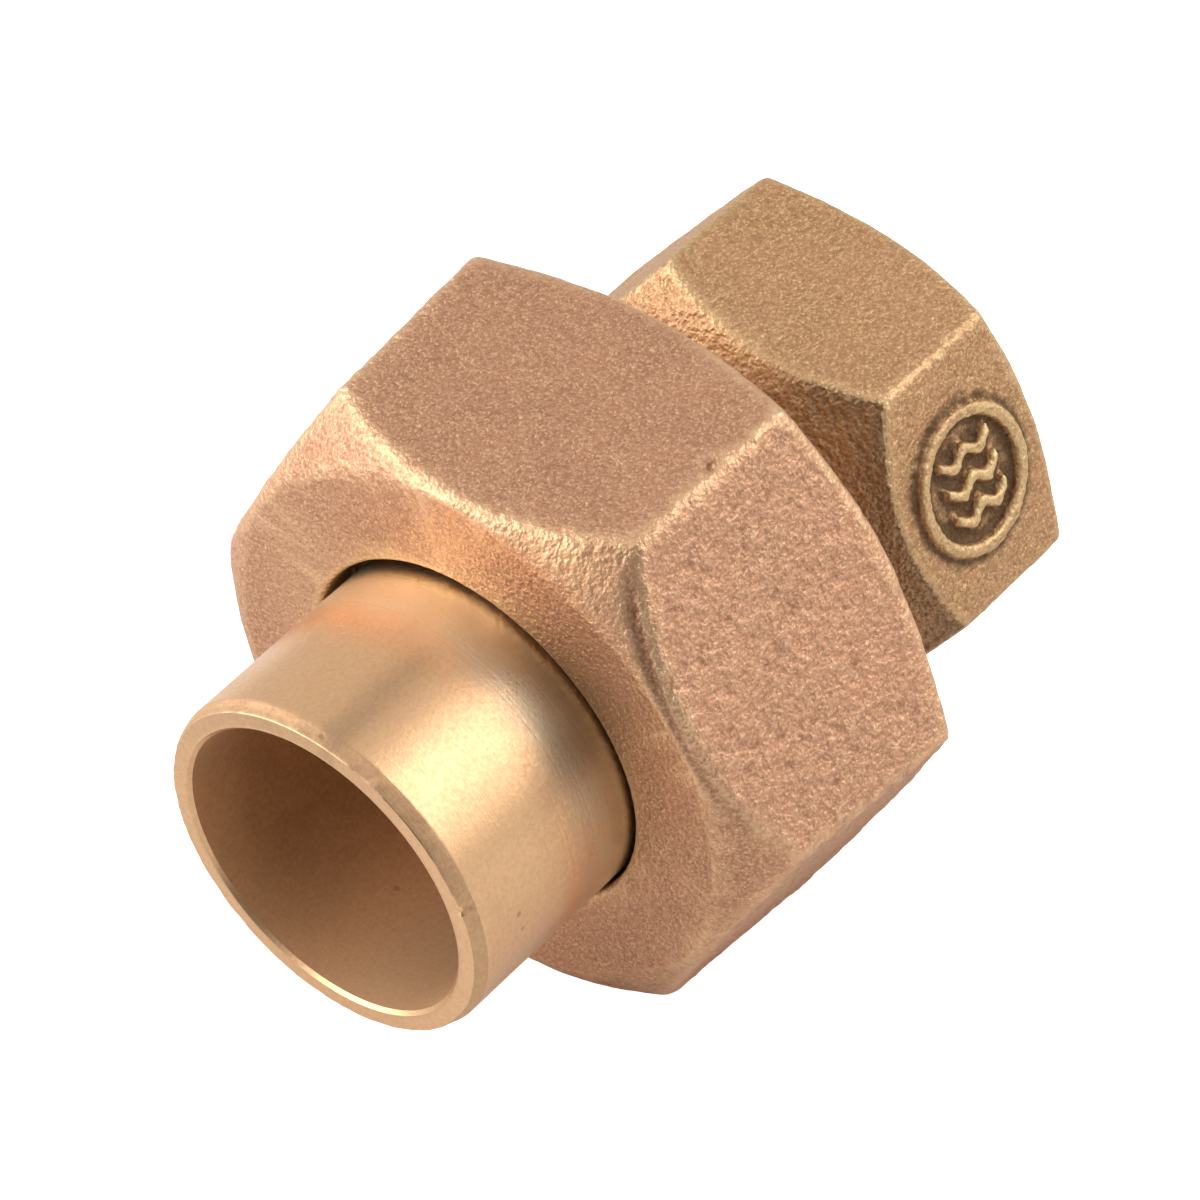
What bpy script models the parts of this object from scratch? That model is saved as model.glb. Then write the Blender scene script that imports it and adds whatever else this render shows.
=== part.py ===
"""Bronze ground-joint pipe union, 3/4 inch: copper solder cup on one side, female pipe thread on the other.

Three pieces on one axis, X. The tailpiece's solder cup opens towards +X and the body's pipe thread
towards -X; the union nut turns on the tailpiece and draws its ball seat into the body's cone.
Z is up with the union lying on a flat of the nut, and the origin is on the axis at half the length.
A station is a distance along the axis from the rim of the solder cup. Metres throughout.
"""
from math import asin, cos, pi, radians, sin, sqrt, tan

import bmesh
import bpy
from mathutils import Matrix, Vector

MM = 0.001

# Overall
LENGTH = 56.6 * MM
GAP = 0.3 * MM  # between faces that meet in the real fitting
ROUND_STEPS = 48  # sides of a turned surface
THREAD_STEPS = 36  # sides of a thread's turn
CORNER_ANGLE = pi / 6  # from the middle of a hexagon's flat to its corner

# Tailpiece: tube, collar and ball seat
TUBE_RADIUS = 12.95 * MM
CUP_RADIUS = 11.15 * MM  # takes 7/8 inch outside-diameter copper tube
CUP_DEPTH = 19.05 * MM
RIM_CHAMFER = 1.05 * MM
RIM_DROP = 0.35 * MM
CUP_LEAD = 0.25 * MM
CUP_STOP = 0.5 * MM  # height of the square step that stops the tube
WATERWAY_RADIUS = 9.6 * MM
WATERWAY_LEAD = 1.2 * MM  # length of the cone from the stop to the waterway
COLLAR_RADIUS = 15.4 * MM
COLLAR_START = 19.3 * MM
COLLAR_END = 22.3 * MM
BALL_RADIUS = 16.0 * MM
BALL_START = 0.2 * MM  # the ball starts this far past the collar, and this far inside its radius
BALL_CENTRE = COLLAR_END + BALL_START - sqrt(BALL_RADIUS**2 - COLLAR_RADIUS**2)
BALL_NOSE = 0.9 * MM  # width of the flat ring at the ball's end
BALL_STEPS = 5
SEAT_ANGLE = radians(35)  # between the body's conical seat and the axis
SEAT_MOUTH_RADIUS = 16 * MM  # the cone is cut out to here, beyond the threaded end's face

# Union nut
NUT_FRONT = 15.25 * MM
NUT_SHOULDER = 19.0 * MM
NUT_REAR = 36.1 * MM
NUT_HOLE_RADIUS = 13.45 * MM
NUT_APOTHEM = 21.45 * MM  # half across flats at NUT_GAUGE
NUT_GAUGE = 25.3 * MM
NUT_DRAFT = 0.063  # each flat leans out towards the rear by this slope
NUT_FACE_RADIUS = 20.2 * MM  # the flat front face ends here and the corner chamfer starts
NUT_FRONT_SLOPE = 0.80  # chamfer depth per unit of radius, next to the face
NUT_CORNER_RADIUS = 22.4 * MM  # the front chamfer steepens here
NUT_CORNER_SLOPE = 1.05
NUT_REAR_RADIUS = 20.1 * MM
NUT_REAR_SLOPE = 0.574
NUT_REACH = 26 * MM  # radius beyond every corner of the nut
NUT_RELIEF_RADIUS = 18.2 * MM  # clear of the thread's crests, behind the shoulder and at the mouth
NUT_RELIEF_END = 23.0 * MM
NUT_BORE_LEAD = 1.3 * MM  # length of the cone from the relief to the thread
NUT_MOUTH_LEAD = 1.5 * MM  # length of the cone at the nut's mouth
NUT_SHIFT = (-0.15 * MM, 0.10 * MM)  # Y and Z: the casting sits this far off the thread's axis

# Union thread, right-handed, between the nut and the body
UNION_PITCH = 2.0 * MM
UNION_MAJOR = 17.6 * MM
UNION_MINOR = 16.5 * MM
UNION_START = 25.0 * MM
UNION_END = 34.6 * MM
UNION_LEAD = 1.4 * MM  # chamfer on the thread's first turn
UNION_CREST_MARGIN = 0.1 * MM  # blank left over the crests before threading
UNION_FADE = 0.8 * MM  # full crests stop this far before the thread's end
UNION_RUNOUT = 1.2 * MM  # the cone to the neck ends this far past it
UNION_OVERRUN = 3 * UNION_PITCH  # the cutter's last turn lies whole pitches past the thread's end

# Body: threaded end, neck and hexagon
NECK_RADIUS = 14.3 * MM
NECK_END_RADIUS = 13.7 * MM  # inside the hexagon
NECK_OVERLAP = 2 * MM  # how far the neck reaches into the hexagon
BODY_HEX_START = 39.0 * MM
BODY_APOTHEM = 15.72 * MM  # half across flats
BODY_TURN = radians(9.4)  # the body's top flat is turned from the nut's by this much
BODY_FRONT_RADIUS = 13.4 * MM  # the front chamfer starts here
BODY_FRONT_STATION = 39.8 * MM
BODY_FRONT_SLOPE = 0.95
BODY_REAR_RADIUS = 14.6 * MM
BODY_REAR_SLOPE = 0.50
BODY_REACH = 20 * MM  # radius beyond every corner of the body
BODY_SHIFT = (0.28 * MM, -0.18 * MM)  # Y and Z: the hexagon sits this far off the thread's axis

# Female pipe thread, 3/4-14, tapered 1 in 16 on diameter
PIPE_PITCH = 25.4 / 14 * MM
PIPE_DEPTH = 14.2 * MM
PIPE_MAJOR = 13.25 * MM  # at the mouth
PIPE_MINOR = 12.15 * MM
PIPE_TAPER = 1 / 32
PIPE_MOUTH_LEAD = 1.2 * MM  # chamfer at the mouth
PIPE_BORE_LEAD = 1.5 * MM  # cone from the waterway to the thread

# Stock left past a face before it is cut
STOCK = 1 * MM

# Raised casting mark on the body's side flat
MARK_STATION = 48.9 * MM
MARK_SIDE = 0.25 * MM  # from the flat's middle line
MARK_RADIUS = 5.25 * MM
MARK_RING = 0.8 * MM
MARK_HEIGHT = 0.45 * MM
MARK_ROOT = 0.6 * MM  # how far the mark's own solid reaches under the flat
MARK_STEPS = 24
WAVE_COUNT = 3
WAVE_SPACING = 1.9 * MM
WAVE_SPAN = 2.6 * MM  # half the length of a zigzag line
WAVE_CRESTS = 4
WAVE_RISE = 0.45 * MM
WAVE_HALF_WIDTH = 0.32 * MM

# Surfaces: colour and roughness
TURNED_BRONZE = ((0.72, 0.52, 0.30), 0.32)
NUT_BRONZE = ((0.52, 0.33, 0.22), 0.62)
BODY_BRONZE = ((0.50, 0.34, 0.20), 0.60)
SHARP_ANGLE = radians(30)


def clear_scene():
    for obj in list(bpy.data.objects):
        bpy.data.objects.remove(obj, do_unlink=True)


def x_at(station):
    return LENGTH / 2 - station


def add_object(name, mesh_builder, hidden=False):
    mesh = bpy.data.meshes.new(name)
    bmesh.ops.recalc_face_normals(mesh_builder, faces=mesh_builder.faces)
    mesh_builder.to_mesh(mesh)
    mesh_builder.free()
    obj = bpy.data.objects.new(name, mesh)
    bpy.context.scene.collection.objects.link(obj)
    if hidden:
        obj.hide_render = True
        obj.display_type = "WIRE"
    return obj


def turned(name, outline, steps=ROUND_STEPS, hidden=True):
    """Solid of revolution about X from a closed outline of (station, radius) points off the axis."""
    bm = bmesh.new()
    points = [bm.verts.new((x_at(station), radius, 0)) for station, radius in outline]
    edges = [bm.edges.new(pair) for pair in zip(points, points[1:] + points[:1])]
    bmesh.ops.spin(
        bm, geom=points + edges, cent=(0, 0, 0), axis=(1, 0, 0), angle=2 * pi, steps=steps, use_merge=True
    )
    return add_object(name, bm, hidden)


def turned_plug(name, outline, steps=ROUND_STEPS):
    """Solid of revolution about X from (station, radius) points; its two ends are closed by flat discs."""
    bm = bmesh.new()
    rings = []
    for station, radius in outline:
        angles = [2 * pi * k / steps for k in range(steps)]
        rings.append([bm.verts.new((x_at(station), radius * cos(a), radius * sin(a))) for a in angles])
    for near, far in zip(rings, rings[1:]):
        for k in range(steps):
            n = (k + 1) % steps
            bm.faces.new((near[k], near[n], far[n], far[k]))
    bm.faces.new(rings[0])
    bm.faces.new(rings[-1])
    return add_object(name, bm, hidden=True)


def hexagon(name, start, end, apothem, gauge, draft, turn, hidden=False):
    """Six-sided prism along X with a flat facing up, turned towards +Y; its flats lean by the draft."""
    bm = bmesh.new()
    rings = []
    for station in (start, end):
        corner = (apothem + draft * (station - gauge)) / cos(CORNER_ANGLE)
        angles = [turn + CORNER_ANGLE * (1 + 2 * k) for k in range(6)]
        rings.append([bm.verts.new((x_at(station), corner * sin(a), corner * cos(a))) for a in angles])
    for k in range(6):
        n = (k + 1) % 6
        bm.faces.new((rings[0][k], rings[0][n], rings[1][n], rings[1][k]))
    bm.faces.new(rings[0])
    bm.faces.new(rings[1])
    return add_object(name, bm, hidden)


def threaded_rod(name, start, end, pitch, major, minor, taper=0.0):
    """Right-handed threaded rod along X. Each turn has four lines of points: root, root, crest, crest.

    The taper narrows the rod towards +X, and major and minor hold at the end station.
    """
    shares = (0.0, 0.14, 0.5, 0.64)  # of a pitch, measured towards +X
    radii = (minor, minor, major, major)
    turns = int((end - start) / pitch) + 3
    lines = 4 * turns + 1
    bm = bmesh.new()

    def point(line, step):
        whole, part = divmod(line, 4)
        along = (whole + shares[part] + step / THREAD_STEPS - 1) * pitch
        radius = radii[part] - taper * along
        angle = 2 * pi * step / THREAD_STEPS
        return bm.verts.new((x_at(end) + along, radius * cos(angle), radius * sin(angle)))

    grid = [[point(line, step) for step in range(THREAD_STEPS)] for line in range(lines)]

    def at(line, step):
        return grid[line][step] if step < THREAD_STEPS else grid[line + 4][0]

    for line in range(lines - 1):
        for step in range(THREAD_STEPS):
            if step == THREAD_STEPS - 1 and line + 5 > lines - 1:
                continue
            bm.faces.new((at(line, step), at(line, step + 1), at(line + 1, step + 1), at(line + 1, step)))
    low = grid[0] + [grid[line][0] for line in (4, 3, 2, 1)]
    top = lines - 1
    high = [grid[top][k] for k in range(THREAD_STEPS)]
    high += [grid[line][THREAD_STEPS - 1] for line in (top - 1, top - 2, top - 3, top - 4)]
    for loop, x in ((low, min(v.co.x for v in low)), (high, max(v.co.x for v in high))):
        centre = bm.verts.new((x, 0, 0))
        for a, b in zip(loop, loop[1:] + loop[:1]):
            bm.faces.new((centre, a, b))
    return add_object(name, bm, hidden=True)


def cut(obj, other, operation):
    modifier = obj.modifiers.new(other.name, "BOOLEAN")
    modifier.operation = operation
    modifier.object = other
    modifier.solver = "EXACT"


def shift(obj, offset):
    """Moves a mesh off the axis by (y, z)."""
    obj.data.transform(Matrix.Translation((0, *offset)))


def move_origin(obj, station):
    """Puts the object's origin on the axis at this station, with its mesh left where it is."""
    obj.data.transform(Matrix.Translation((-x_at(station), 0, 0)))
    obj.location = (x_at(station), 0, 0)


def finish_surface(obj, name, look):
    colour, roughness = look
    material = bpy.data.materials.new(name)
    material.use_nodes = True
    shader = material.node_tree.nodes["Principled BSDF"]
    shader.inputs["Base Color"].default_value = (*colour, 1)
    shader.inputs["Metallic"].default_value = 1.0
    shader.inputs["Roughness"].default_value = roughness
    obj.data.materials.append(material)
    obj.data.shade_smooth()
    obj.data.set_sharp_from_angle(angle=SHARP_ANGLE)


def ball_arc(start_radius, end_radius):
    """(station, radius) points on the tailpiece's ball, from one radius to a smaller one."""
    first = asin(start_radius / BALL_RADIUS)
    last = asin(end_radius / BALL_RADIUS)
    angles = [first + (last - first) * k / BALL_STEPS for k in range(BALL_STEPS + 1)]
    return [(BALL_CENTRE + BALL_RADIUS * cos(a), BALL_RADIUS * sin(a)) for a in angles]


def seat_station(radius):
    """Where the body's conical seat, which touches the ball but for the gap, has this radius."""
    reach = BALL_RADIUS + GAP
    touch_station = BALL_CENTRE + reach * sin(SEAT_ANGLE)
    touch_radius = reach * cos(SEAT_ANGLE)
    return touch_station + (touch_radius - radius) / tan(SEAT_ANGLE)


def make_tailpiece():
    seat = ball_arc(COLLAR_RADIUS - BALL_START, WATERWAY_RADIUS + BALL_NOSE)
    outline = [
        (0, CUP_RADIUS + CUP_LEAD),
        (0, TUBE_RADIUS - RIM_DROP),
        (RIM_CHAMFER, TUBE_RADIUS),
        (COLLAR_START, TUBE_RADIUS),
        (COLLAR_START, COLLAR_RADIUS),
        (COLLAR_END, COLLAR_RADIUS),
        *seat,
        (seat[-1][0], WATERWAY_RADIUS),
        (CUP_DEPTH + WATERWAY_LEAD, WATERWAY_RADIUS),
        (CUP_DEPTH, CUP_RADIUS - CUP_STOP),
        (CUP_DEPTH, CUP_RADIUS),
        (CUP_LEAD, CUP_RADIUS),
    ]
    tail = turned("tailpiece", outline, hidden=False)
    finish_surface(tail, "turned_bronze", TURNED_BRONZE)
    move_origin(tail, 0)
    return tail


def make_union_nut():
    nut = hexagon("union_nut", NUT_FRONT - STOCK, NUT_REAR + STOCK, NUT_APOTHEM, NUT_GAUGE, NUT_DRAFT, 0)
    chamfer_end = NUT_FRONT + (NUT_CORNER_RADIUS - NUT_FACE_RADIUS) * NUT_FRONT_SLOPE
    bore_radius = UNION_MINOR + GAP
    outline = turned(
        "nut_outline",
        [
            (NUT_FRONT, NUT_HOLE_RADIUS),
            (NUT_FRONT, NUT_FACE_RADIUS),
            (chamfer_end, NUT_CORNER_RADIUS),
            (chamfer_end + (NUT_REACH - NUT_CORNER_RADIUS) * NUT_CORNER_SLOPE, NUT_REACH),
            (NUT_REAR - (NUT_REACH - NUT_REAR_RADIUS) * NUT_REAR_SLOPE, NUT_REACH),
            (NUT_REAR, NUT_REAR_RADIUS),
            (NUT_REAR, NUT_RELIEF_RADIUS),
            (NUT_REAR - NUT_MOUTH_LEAD, bore_radius),
            (NUT_RELIEF_END + NUT_BORE_LEAD, bore_radius),
            (NUT_RELIEF_END, NUT_RELIEF_RADIUS),
            (NUT_SHOULDER, NUT_RELIEF_RADIUS),
            (NUT_SHOULDER, NUT_HOLE_RADIUS),
        ],
    )
    tap_start = NUT_RELIEF_END + STOCK
    tap_end = UNION_END + 2 * UNION_PITCH
    tap = threaded_rod("nut_tap", tap_start, tap_end, UNION_PITCH, UNION_MAJOR + GAP, bore_radius)
    shift(nut, NUT_SHIFT)
    shift(outline, NUT_SHIFT)
    cut(nut, outline, "INTERSECT")
    cut(nut, tap, "DIFFERENCE")
    finish_surface(nut, "cast_bronze_nut", NUT_BRONZE)
    move_origin(nut, NUT_FRONT)
    return nut


def mark_frame():
    """Matrix from the mark's own frame (Z out of the flat, X along the axis) to the part's frame."""
    angle = BODY_TURN + 2 * CORNER_ANGLE
    out = Vector((0, sin(angle), cos(angle)))
    along = Vector((1, 0, 0))
    side = out.cross(along)
    place = Vector((x_at(MARK_STATION), *BODY_SHIFT)) + out * BODY_APOTHEM + side * MARK_SIDE
    frame = Matrix((along, side, out)).transposed().to_4x4()
    return Matrix.Translation(place) @ frame


def mark_ring():
    bm = bmesh.new()
    inner = MARK_RADIUS - MARK_RING
    outline = [
        (inner, -MARK_ROOT),
        (MARK_RADIUS, -MARK_ROOT),
        (MARK_RADIUS, MARK_HEIGHT),
        (inner, MARK_HEIGHT),
    ]
    points = [bm.verts.new((radius, 0, height)) for radius, height in outline]
    edges = [bm.edges.new(pair) for pair in zip(points, points[1:] + points[:1])]
    steps = MARK_STEPS
    bmesh.ops.spin(
        bm, geom=points + edges, cent=(0, 0, 0), axis=(0, 0, 1), angle=2 * pi, steps=steps, use_merge=True
    )
    bmesh.ops.transform(bm, matrix=mark_frame(), verts=bm.verts)
    return add_object("mark_ring", bm, hidden=True)


def mark_wave(index):
    """One raised zigzag line across the ring, as a closed strip."""
    offset = (index - (WAVE_COUNT - 1) / 2) * WAVE_SPACING
    bm = bmesh.new()
    upper = []
    lower = []
    for k in range(WAVE_CRESTS + 1):
        along = WAVE_SPAN * (2 * k / WAVE_CRESTS - 1)
        rise = offset + (WAVE_RISE if k % 2 else -WAVE_RISE)
        upper.append((along, rise + WAVE_HALF_WIDTH))
        lower.append((along, rise - WAVE_HALF_WIDTH))
    loop = upper + lower[::-1]
    base = bm.faces.new([bm.verts.new((a, b, -MARK_ROOT)) for a, b in loop])
    lifted = bmesh.ops.extrude_face_region(bm, geom=[base])
    tops = [item for item in lifted["geom"] if isinstance(item, bmesh.types.BMVert)]
    bmesh.ops.translate(bm, vec=(0, 0, MARK_ROOT + MARK_HEIGHT), verts=tops)
    bmesh.ops.transform(bm, matrix=mark_frame(), verts=bm.verts)
    return add_object(f"mark_wave_{index}", bm, hidden=True)


def body_envelope():
    """Chamfer cones that trim the hexagon's two ends."""
    return turned_plug(
        "body_chamfers",
        [
            (BODY_HEX_START - STOCK, BODY_FRONT_RADIUS),
            (BODY_FRONT_STATION, BODY_FRONT_RADIUS),
            (BODY_FRONT_STATION + (BODY_REACH - BODY_FRONT_RADIUS) * BODY_FRONT_SLOPE, BODY_REACH),
            (LENGTH - (BODY_REACH - BODY_REAR_RADIUS) * BODY_REAR_SLOPE, BODY_REACH),
            (LENGTH, BODY_REAR_RADIUS),
        ],
    )


def threaded_end():
    """The body's end inside the nut, with its thread and neck."""
    crest = UNION_MAJOR + UNION_CREST_MARGIN
    blank = turned_plug(
        "threaded_end",
        [
            (UNION_START, UNION_MAJOR - UNION_LEAD),
            (UNION_START + UNION_LEAD, crest),
            (UNION_END - UNION_FADE, crest),
            (UNION_END + UNION_RUNOUT, NECK_RADIUS),
            (BODY_HEX_START + NECK_OVERLAP, NECK_END_RADIUS),
        ],
    )
    start = UNION_START - STOCK
    end = UNION_END + UNION_OVERRUN
    thread = threaded_rod("union_thread", start, end, UNION_PITCH, UNION_MAJOR, UNION_MINOR)
    cut(blank, thread, "INTERSECT")
    return blank


def body_bore():
    """The conical seat, the waterway and the bore of the pipe thread."""
    thread_start = LENGTH - PIPE_DEPTH
    mouth_radius = PIPE_MAJOR + UNION_CREST_MARGIN
    return turned_plug(
        "body_waterway",
        [
            (seat_station(SEAT_MOUTH_RADIUS), SEAT_MOUTH_RADIUS),
            (seat_station(WATERWAY_RADIUS), WATERWAY_RADIUS),
            (thread_start - PIPE_BORE_LEAD, WATERWAY_RADIUS),
            (thread_start, PIPE_MINOR - PIPE_TAPER * PIPE_DEPTH),
            (LENGTH - PIPE_MOUTH_LEAD, PIPE_MINOR),
            (LENGTH, mouth_radius),
            (LENGTH + STOCK, mouth_radius),
        ],
    )


def make_body():
    stock_end = LENGTH + STOCK
    body = hexagon("body", BODY_HEX_START, stock_end, BODY_APOTHEM, BODY_HEX_START, 0.0, BODY_TURN)
    envelope = body_envelope()
    shift(body, BODY_SHIFT)
    shift(envelope, BODY_SHIFT)
    cut(body, envelope, "INTERSECT")
    cut(body, threaded_end(), "UNION")
    cut(body, mark_ring(), "UNION")
    for index in range(WAVE_COUNT):
        cut(body, mark_wave(index), "UNION")
    cut(body, body_bore(), "DIFFERENCE")
    start = LENGTH - PIPE_DEPTH + 2 * PIPE_PITCH
    tap = threaded_rod("pipe_tap", start, LENGTH, PIPE_PITCH, PIPE_MAJOR, PIPE_MINOR, PIPE_TAPER)
    cut(body, tap, "DIFFERENCE")
    finish_surface(body, "cast_bronze_body", BODY_BRONZE)
    move_origin(body, LENGTH)
    return body


def main():
    clear_scene()
    make_body()
    make_tailpiece()
    make_union_nut()


main()
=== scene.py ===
from contextlib import contextmanager
from math import asin, cos, degrees, hypot, pi, radians, sin, sqrt, tan

import bpy
import numpy as np
from mathutils import Matrix, Vector


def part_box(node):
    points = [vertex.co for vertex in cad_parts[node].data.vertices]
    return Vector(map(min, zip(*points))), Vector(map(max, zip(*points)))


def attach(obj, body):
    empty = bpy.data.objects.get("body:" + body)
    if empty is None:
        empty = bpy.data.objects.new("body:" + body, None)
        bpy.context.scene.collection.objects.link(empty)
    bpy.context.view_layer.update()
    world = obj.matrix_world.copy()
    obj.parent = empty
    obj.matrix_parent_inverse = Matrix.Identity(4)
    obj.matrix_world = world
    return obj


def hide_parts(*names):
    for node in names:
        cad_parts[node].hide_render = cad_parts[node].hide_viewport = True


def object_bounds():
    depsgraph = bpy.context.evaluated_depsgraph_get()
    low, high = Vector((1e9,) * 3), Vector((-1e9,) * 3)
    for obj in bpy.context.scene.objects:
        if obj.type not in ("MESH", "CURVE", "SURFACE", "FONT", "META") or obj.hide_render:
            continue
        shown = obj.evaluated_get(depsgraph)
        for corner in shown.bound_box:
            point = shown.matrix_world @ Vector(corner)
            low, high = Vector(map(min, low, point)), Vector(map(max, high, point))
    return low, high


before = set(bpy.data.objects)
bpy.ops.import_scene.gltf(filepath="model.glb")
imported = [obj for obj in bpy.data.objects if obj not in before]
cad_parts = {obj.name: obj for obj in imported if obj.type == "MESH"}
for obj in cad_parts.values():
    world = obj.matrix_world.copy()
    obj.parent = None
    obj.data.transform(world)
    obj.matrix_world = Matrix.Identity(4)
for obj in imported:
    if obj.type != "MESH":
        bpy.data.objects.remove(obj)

bl_info = {
    "name": "Bronze pipe union",
    "version": (1, 0, 0),
    "blender": (4, 5, 0),
    "location": "3D View > Sidebar > Union",
    "description": "Cast and turned surfaces of a bronze solder-cup to pipe-thread union",
    "category": "Add Mesh",
}

MM = 0.001
CAD_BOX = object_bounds()
NUT_LOW, NUT_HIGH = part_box("union_nut")
BODY_LOW, BODY_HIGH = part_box("body")
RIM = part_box("tailpiece")[1].x  # X of the solder cup's rim; a station is a distance from it, towards -X
LENGTH = RIM - BODY_LOW.x
NUT_FRONT = RIM - NUT_HIGH.x
NUT_REAR = RIM - NUT_LOW.x
BODY_FRONT = RIM - BODY_HIGH.x
SIXTH = pi / 3  # between neighbouring flats of a hexagon
SIDE_FLATS = [1, 2, 4, 5]  # all of the nut's flats but the upper and the lower
PAST_NUT, PAST_BODY = 26 * MM, 20 * MM  # radii outside all of the corners
SEAT_GAP = 0.3 * MM  # between the tailpiece's ball and the body's cone
THREAD_LAND = 0.14  # flat crest and root, as a share of the pitch
THREAD_SIDES, TURNED_SIDES, TUBE_SIDES, RING_SIDES = 96, 128, 320, 72
NUT_VOXEL, BODY_VOXEL = 0.27 * MM, 0.22 * MM
DOUBLES = 1e-6  # points closer than this are merged
WEIGHT_STEPS = 20
MOST_TRIANGLES = 196_000  # in one piece
BROAD_RELIEF, FINE_RELIEF = 0.10 * MM, 0.03 * MM  # relief that counts as 1 in the materials
MARK_ROOT = 0.8 * MM  # how far the mark's shapes reach into the flat
WAVE_RUN, WAVE_RISE, WAVE_APART = 1.3 * MM, 1.0 * MM, 2.1 * MM  # the mark's zigzag lines
KNOCK_DEPTH = 0.25 * MM
KNOCKS = (  # small dents in the nut: (one end, other end, half width, depth), in millimetres
    ((1.4, 11.5, 21.6), (1.9, 11.8, 21.6), 0.42, 0.22),
    ((2.07, 14.37, 17.96), (3.30, 15.40, 16.02), 0.22, 0.05),
    ((3.30, 15.40, 16.02), (4.60, 16.41, 14.11), 0.22, 0.035),
)
# Colours of painted shade: on the tube, rim and threads, and in the cup.
SHADE_BROWN, CUP_SHADE_BROWN = (0.27, 0.17, 0.10), (0.24, 0.121, 0.046)
NUT_RED, BODY_RED = (0.70, 0.36, 0.22), (0.66, 0.35, 0.20)
PAINTED_REFLECTION_PALE, SPECK = (0.77, 0.67, 0.48), (0.12, 0.07, 0.04)
MIX_COLOUR_INLETS, MIX_COLOUR_OUTLET = (0, 6, 7), 2  # the Mix node's sockets for factor and colours
SENSOR = 36  # the camera's, in millimetres
CAMERA_PLACE = (0.220144, 0.200371, 0.296944)
CAMERA_BACK = (0.52507, 0.47788, 0.70423)
CAMERA_RIGHT = (-0.62981, 0.77472, -0.05613)


def size(label, text, default):
    """A length that a user may change."""
    return bpy.props.FloatProperty(
        name=label, description=text, default=default, unit="LENGTH", subtype="DISTANCE", precision=5
    )


def share(label, text, default):
    """A plain number that a user may change."""
    return bpy.props.FloatProperty(name=label, description=text, default=default, precision=4)


def turn(label, text, default):
    """An angle that a user may change."""
    return bpy.props.FloatProperty(
        name=label, description=text, default=radians(default), unit="ROTATION", subtype="ANGLE"
    )


def tint(label, text, default):
    """A colour that a user may change."""
    return bpy.props.FloatVectorProperty(
        name=label, description=text, default=default, size=3, subtype="COLOR", min=0, max=1
    )


def offset(label, text, default):
    """A sideways distance, along Y and Z, that a user may change."""
    return bpy.props.FloatVectorProperty(
        name=label, description=text, default=default, size=2, subtype="NONE", precision=5
    )


# ---------------------------------------------------------------- what a user may change


class NutSizes(bpy.types.PropertyGroup):
    """The union nut."""

    apothem: size("Half across flats", "From the axis to a flat at the gauge station", 21.45 * MM)
    gauge: size("Gauge station", "Where the width across flats is measured", 25.3 * MM)
    draft: share("Draft", "How much each flat leans out towards the rear", 0.063)
    hole_radius: size("Hole radius", "The front hole, round the tailpiece", 13.45 * MM)
    face_radius: size("Face radius", "The flat front face ends here", 20.2 * MM)
    front_slope: share("Front chamfer", "Depth per unit of radius next to the face", 0.80)
    corner_radius: size("Corner radius", "The front chamfer steepens here", 22.4 * MM)
    corner_slope: share("Corner chamfer", "Depth per unit of radius at the corners", 1.05)
    rear_radius: size("Rear radius", "The rear face ends here", 20.1 * MM)
    rear_slope: share("Rear chamfer", "Depth per unit of radius at the rear", 0.574)
    shoulder: size("Shoulder station", "The inside shoulder that pulls the collar", 19.0 * MM)
    relief_end: size("Relief station", "Where the inside relief ends and the thread starts", 23.0 * MM)
    shift: offset("Casting shift", "From the thread's axis to the casting's", (-0.15 * MM, 0.10 * MM))


class ThreadSizes(bpy.types.PropertyGroup):
    """The union thread between nut and body, and the taper pipe thread in the body."""

    pitch: size("Union pitch", "Advance in one turn of the nut", 2.0 * MM)
    major: size("Union crest radius", "Male crest", 17.6 * MM)
    minor: size("Union root radius", "Male root", 16.5 * MM)
    end: size("Union thread end", "Station where the male thread ends", 34.6 * MM)
    play: size("Thread clearance", "Radial gap between male and female thread", 0.3 * MM)
    pipe_pitch: size("Pipe pitch", "Fourteen threads to the inch", 25.4 / 14 * MM)
    pipe_depth: size("Pipe thread depth", "From the body's rear face", 14.2 * MM)
    pipe_major: size("Pipe crest radius", "Female major radius at the mouth", 13.25 * MM)
    pipe_minor: size("Pipe root radius", "Female minor radius at the mouth", 12.15 * MM)
    pipe_taper: share("Pipe taper", "Loss of radius per unit of depth", 1 / 32)


class BodySizes(bpy.types.PropertyGroup):
    """The body, or threaded end."""

    apothem: size("Half across flats", "From the hexagon's middle to a flat", 15.72 * MM)
    twist: turn("Hexagon turn", "From the nut's upper flat to the body's", 9.4)
    hex_start: size("Hexagon station", "Where the hexagon's stock starts", 39.0 * MM)
    neck_radius: size("Neck radius", "Between the thread and the hexagon", 14.3 * MM)
    front_radius: size("Front radius", "Where the front chamfer starts", 13.4 * MM)
    front_station: size("Front station", "Where the front chamfer starts", 39.8 * MM)
    front_slope: share("Front chamfer", "Depth per unit of radius", 0.95)
    rear_radius: size("Rear radius", "Where the rear face ends", 14.6 * MM)
    rear_slope: share("Rear chamfer", "Depth per unit of radius", 0.50)
    seat_angle: turn("Seat angle", "Between the conical seat and the axis", 35)
    waterway: size("Waterway radius", "The bore through the union", 9.6 * MM)
    shift: offset("Casting shift", "From the thread's axis to the hexagon's", (0.28 * MM, -0.18 * MM))


class MarkSizes(bpy.types.PropertyGroup):
    """The raised casting mark on the body's side flat."""

    station: size("Mark station", "The middle of the mark", 48.9 * MM)
    side: size("Mark offset", "From the flat's middle line", 0.25 * MM)
    radius: size("Ring radius", "Outside the raised ring", 5.25 * MM)
    ring: size("Ring width", "Of the raised ring", 0.9 * MM)
    height: size("Mark height", "Above the flat", 0.55 * MM)
    sunk: size("Sunk field", "How far the field inside the ring lies below the flat", 0.15 * MM)
    stroke: size("Stroke width", "Of each zigzag line", 0.85 * MM)


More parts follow.
